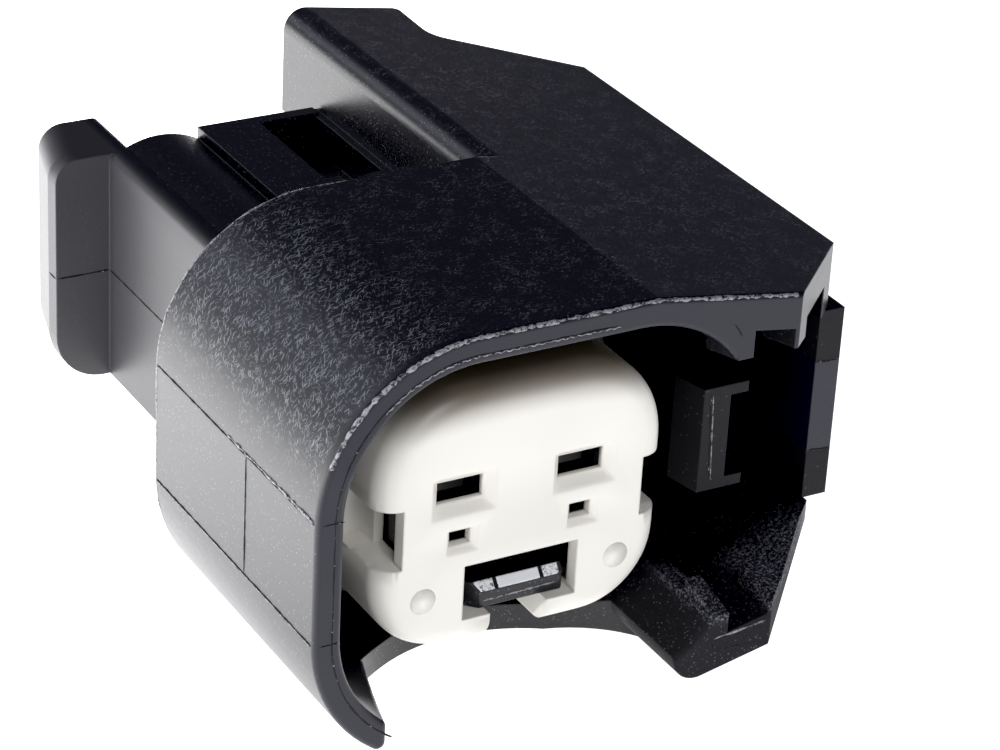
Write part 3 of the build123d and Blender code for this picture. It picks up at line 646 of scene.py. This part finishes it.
class CONNECTOR_OT_parting_lines(ConnectorOperator):
    """Adds the mould's parting lines on the left wall, the wing, the finger flange and the low block"""
    bl_idname = "connector.parting_lines"
    bl_label = "Parting lines"

    def execute(self, context):
        flash, seam = flash_and_highlight_plastic(self.colours), seam_plastic(self.colours)
        w, h = self.sizes.flash_w, self.sizes.flash_h
        left, front = (-1.0, 0.0, 0.0), (0.0, -1.0, 0.0)
        rear, rim = SHROUD_REAR_Y - 0.05, RIM_Y + 0.2
        upper, lower, upright = UPPER_PARTING_Z, LOWER_PARTING_Z, UPRIGHT_PARTING_Y
        lines = {
            "wall_line_upper": ((WALL_X, rear, upper), (WALL_X, rim, upper), left, 0.9 * w, h, 0.4, seam),
            "wall_line_lower": ((WALL_X, rear, lower), (WALL_X, rim, lower), left, 0.9 * w, h, 0.4, seam),
            "wall_line_upright": ((WALL_X, upright, lower), (WALL_X, upright, upper), left, 0.8 * w, h, 0.3, seam),
            "wall_flash_upper": ((WALL_X, 5.2, upper + 0.07), (WALL_X, rim, upper + 0.07), left,
                                 1.2 * w, 1.2 * h, 0.9, flash),
            "wall_flash_lower": ((WALL_X, rear, lower - 0.05), (WALL_X, rim, lower - 0.05), left,
                                 0.5 * w, 0.7 * h, 0.9, flash),
            "rim_cross_upper": ((WALL_X + 0.2, RIM_Y, upper), (WALL_X + WALL_T, RIM_Y, upper), front,
                                w, h, 0.3, seam),
            "rim_cross_lower": ((WALL_X + 0.2, RIM_Y, lower), (WALL_X + WALL_T, RIM_Y, lower), front,
                                w, h, 0.3, seam),
            "wing_line": ((WING_X, SHROUD_REAR_Y, -0.2), (WING_X, FLANGE_FRONT_Y, -0.2), left, w, h, 0.3, seam),
            "flange_line_front": ((WING_X, FLANGE_FRONT_Y, -0.2), (FLANGE_X, FLANGE_FRONT_Y, -0.2), front,
                                  w, h, 0.3, seam),
            "flange_line_side": ((FLANGE_X, FLANGE_FRONT_Y, -0.2), (FLANGE_X, FLANGE_FRONT_Y + 0.8, -0.2), left,
                                 w, h, 0.3, seam),
            "low_block_line_upper": ((7.42, RIM_Y, -6.39), (9.75, RIM_Y, -6.13), front, 0.04, 0.03, 0.8, flash),
            "low_block_line_lower": ((7.5, RIM_Y, -6.92), (9.40, RIM_Y, -7.02), front, 0.03, 0.02, 0.9, seam),
            "low_block_line_left": ((7.49, RIM_Y, -6.44), (7.42, RIM_Y, -6.95), front, 0.03, 0.02, 0.6, seam),
            "guard_crack": ((7.05, RIM_Y, 6.95), (7.5, RIM_Y, 6.30), front, 0.03, 0.015, 0.7, seam),
        }
        for seed, (name, (start, end, out, half_w, height, rough, stuff)) in enumerate(lines.items(), 20):
            path = spaced((start, end), 0.06)
            ridge(name, path, out, half_w, height, rough, stuff, "shell", seed, 0.2)
        return {"FINISHED"}


class CONNECTOR_OT_tongue(ConnectorOperator):
    """Adds the three struck facets on the stop tongue's bevel and the line across its front"""
    bl_idname = "connector.tongue"
    bl_label = "Stop tongue"

    def execute(self, context):
        silver = struck_silver(self.colours)
        low_y, low_z, high_y, high_z = 0.45, -3.49, 0.74, -3.14
        for name, x0, x1, lean in (("left", -1.37, -0.75, 0.27), ("middle", -0.68, 1.20, 0.0),
                                   ("right", 1.27, 1.97, 0.0)):
            corners = ((x0, low_y, low_z), (x1, low_y, low_z), (x1, high_y, high_z), (x0 - lean, high_y, high_z))
            facet("tongue_facet_" + name, corners, 0.012, 0.012, silver, "shell", 5)
        path = spaced(((-1.3, low_y, -3.86), (1.9, low_y, -3.80)), 0.05)
        ridge("tongue_line", path, (0.0, -1.0, 0.0), 0.025, 0.015, 0.9, flash_and_highlight_plastic(self.colours), "shell",
              41, 0.12)
        return {"FINISHED"}


class CONNECTOR_OT_lock(ConnectorOperator):
    """Makes the ivory lock piece with its long side notches, and its two round ejector marks"""
    bl_idname = "connector.lock"
    bl_label = "Lock piece"

    def execute(self, context):
        plastic = lock_plastic(self.colours)
        sizes = self.sizes
        cutters = []
        for name, depth, y0, y1 in (("notches", 1.0, -1.0, sizes.notch_len), ("windows", 1.55, 0.65, sizes.window_end)):
            corners = []
            for x0, x1 in ((depth - LOCK_HALF_W, -7.0), (LOCK_HALF_W - depth, 7.0)):
                corners.append(((min(x0, x1), y0, sizes.notch_low_z), (max(x0, x1), y1, NOTCH_TOP_Z)))
            cutters.append(boxes(name, corners))
        carved_copy("front_lock", "lock_piece", cutters, plastic, "lock")
        for name, x in (("left", -4.04), ("right", 4.04)):
            disc("ejector_mark_" + name, (x, -2.96), sizes.mark_r, 0.006, plastic, "lock")
        return {"FINISHED"}


class CONNECTOR_OT_lever(ConnectorOperator):
    """Gives the latch lever its plastic, and the seams on its bracket and thumb plate"""
    bl_idname = "connector.lever"
    bl_label = "Latch lever"

    def execute(self, context):
        give_material(("latch_lever",), lever_plastic(self.colours))
        flash, seam = flash_and_highlight_plastic(self.colours), seam_plastic(self.colours)
        front = (0.0, -1.0, 0.0)
        lines = {
            "bracket_seam": ((8.84, 1.6, 2.06), (9.05, 1.6, -1.76), 0.045, 0.02, seam),
            "bracket_edge": ((8.92, 1.6, 1.9), (9.12, 1.6, -1.8), 0.02, 0.02, flash),
            "plate_line_upper": ((14.05, 2.3, 1.89), (15.05, 2.3, 1.80), 0.035, 0.02, seam),
            "plate_line_lower": ((14.05, 2.3, -1.96), (15.05, 2.3, -2.06), 0.035, 0.02, seam),
        }
        for seed, (name, (start, end, half_w, height, stuff)) in enumerate(lines.items(), 60):
            ridge(name, spaced((start, end), 0.05), front, half_w, height, 0.6, stuff, "lever",
                  seed, 0.18)
        return {"FINISHED"}


class CONNECTOR_OT_seals(ConnectorOperator):
    """Gives the seals their rubber and the contacts their plating"""
    bl_idname = "connector.seals"
    bl_label = "Seals and contacts"

    def execute(self, context):
        give_material(("interface_seal", "wire_seal_left", "wire_seal_right"), seal_rubber(self.colours))
        give_material(("contact_left", "contact_right"), tin_plate(self.colours))
        return {"FINISHED"}


def lamp(name, place, target, size, power, colour):
    """A square soft lamp at a place, turned to a target, both in millimetres."""
    light = bpy.data.lights.new(name, "AREA")
    light.size = size * MM
    light.energy = power
    light.color = colour
    holder = bpy.data.objects.new(name, light)
    bpy.context.scene.collection.objects.link(holder)
    back = np.array(place, float) - np.array(target, float)
    back /= np.linalg.norm(back)
    right = np.cross((0.0, 0.0, 1.0), back)
    right /= np.linalg.norm(right)
    turn = Matrix(np.stack([right, np.cross(back, right), back], axis=1).tolist()).to_4x4()
    holder.matrix_world = Matrix.Translation([c * MM for c in place]) @ turn


class CONNECTOR_OT_stage(ConnectorOperator):
    """Makes the camera, the pale floor and the lamps"""
    bl_idname = "connector.stage"
    bl_label = "Stage"

    def execute(self, context):
        scene = bpy.context.scene
        stage = scene.connector_stage
        view = scene.view_settings
        view.view_transform = "Standard"
        view.use_curve_mapping = True
        view.curve_mapping.black_level = (stage.black_level,) * 3
        view.curve_mapping.update()

        data = bpy.data.cameras.new("camera")
        data.sensor_width = 36.0
        data.lens = 124.056
        data.clip_start = 5 * MM
        data.clip_end = 20.0
        camera = bpy.data.objects.new("camera", data)
        scene.collection.objects.link(camera)
        right = (0.8712223, -0.4882930, 0.0504148)
        up = (0.1867017, 0.4245864, 0.8859282)
        back = (-0.4539980, -0.7624279, 0.4610743)
        turn = Matrix((right, up, back)).transposed().to_4x4()
        camera.matrix_world = Matrix.Translation([c * MM for c in (-56.387, -92.420, 61.581)]) @ turn
        scene.camera = camera

        side = 900.0
        floor_z = float(np.asarray(cad_box, float)[0][2]) / MM - 0.01
        corners = [(-side, -side, floor_z), (side, -side, floor_z), (side, side, floor_z), (-side, side, floor_z)]
        new_piece("floor", corners, [(0, 1, 2, 3)], floor_table(stage), None)

        world = bpy.data.worlds.new("studio")
        world.use_nodes = True
        sky = world.node_tree.nodes["Background"]
        sky.inputs["Color"].default_value = (0.72, 0.74, 1.0, 1.0)
        sky.inputs["Strength"].default_value = 0.11
        scene.world = world
        lamp("softbox_back_left", (-160, 250, 150), (-5, 5, 5), 150, stage.softbox, (0.85, 0.9, 1.0))
        lamp("side_lamp", (-300, 40, 50), (-5, 10, 0), 120, stage.side_lamp, (1.0, 0.98, 0.96))
        lamp("key_softbox", (-57, -296, 228), (0, 0, 0), 160, stage.key, (1.0, 1.0, 1.0))
        return {"FINISHED"}


class CONNECTOR_PT_panel(bpy.types.Panel):
    """The connector's settings and steps"""
    bl_idname = "CONNECTOR_PT_panel"
    bl_label = "Connector"
    bl_space_type = "VIEW_3D"
    bl_region_type = "UI"
    bl_category = "Connector"

    def draw(self, context):
        for group in GROUPS:
            settings = getattr(context.scene, group)
            for name in type(settings).__annotations__:
                self.layout.prop(settings, name)
        for operator in OPERATORS:
            self.layout.operator(operator.bl_idname)


OPERATORS = (CONNECTOR_OT_stage, CONNECTOR_OT_housing, CONNECTOR_OT_rim, CONNECTOR_OT_parting_lines,
             CONNECTOR_OT_tongue, CONNECTOR_OT_lock, CONNECTOR_OT_lever, CONNECTOR_OT_seals)
GROUPS = {"connector_colours": ConnectorColours, "connector_sizes": ConnectorSizes,
          "connector_stage": ConnectorStage}


def register():
    for cls in (*GROUPS.values(), *OPERATORS, CONNECTOR_PT_panel):
        bpy.utils.register_class(cls)
    for name, group in GROUPS.items():
        setattr(bpy.types.Scene, name, bpy.props.PointerProperty(type=group))


def unregister():
    for name in GROUPS:
        delattr(bpy.types.Scene, name)
    for cls in reversed((*GROUPS.values(), *OPERATORS, CONNECTOR_PT_panel)):
        bpy.utils.unregister_class(cls)


def main():
    register()
    bpy.ops.connector.stage()
    bpy.ops.connector.housing()
    bpy.ops.connector.rim()
    bpy.ops.connector.parting_lines()
    bpy.ops.connector.tongue()
    bpy.ops.connector.lock()
    bpy.ops.connector.lever()
    bpy.ops.connector.seals()


if __name__ == "__main__":
    main()
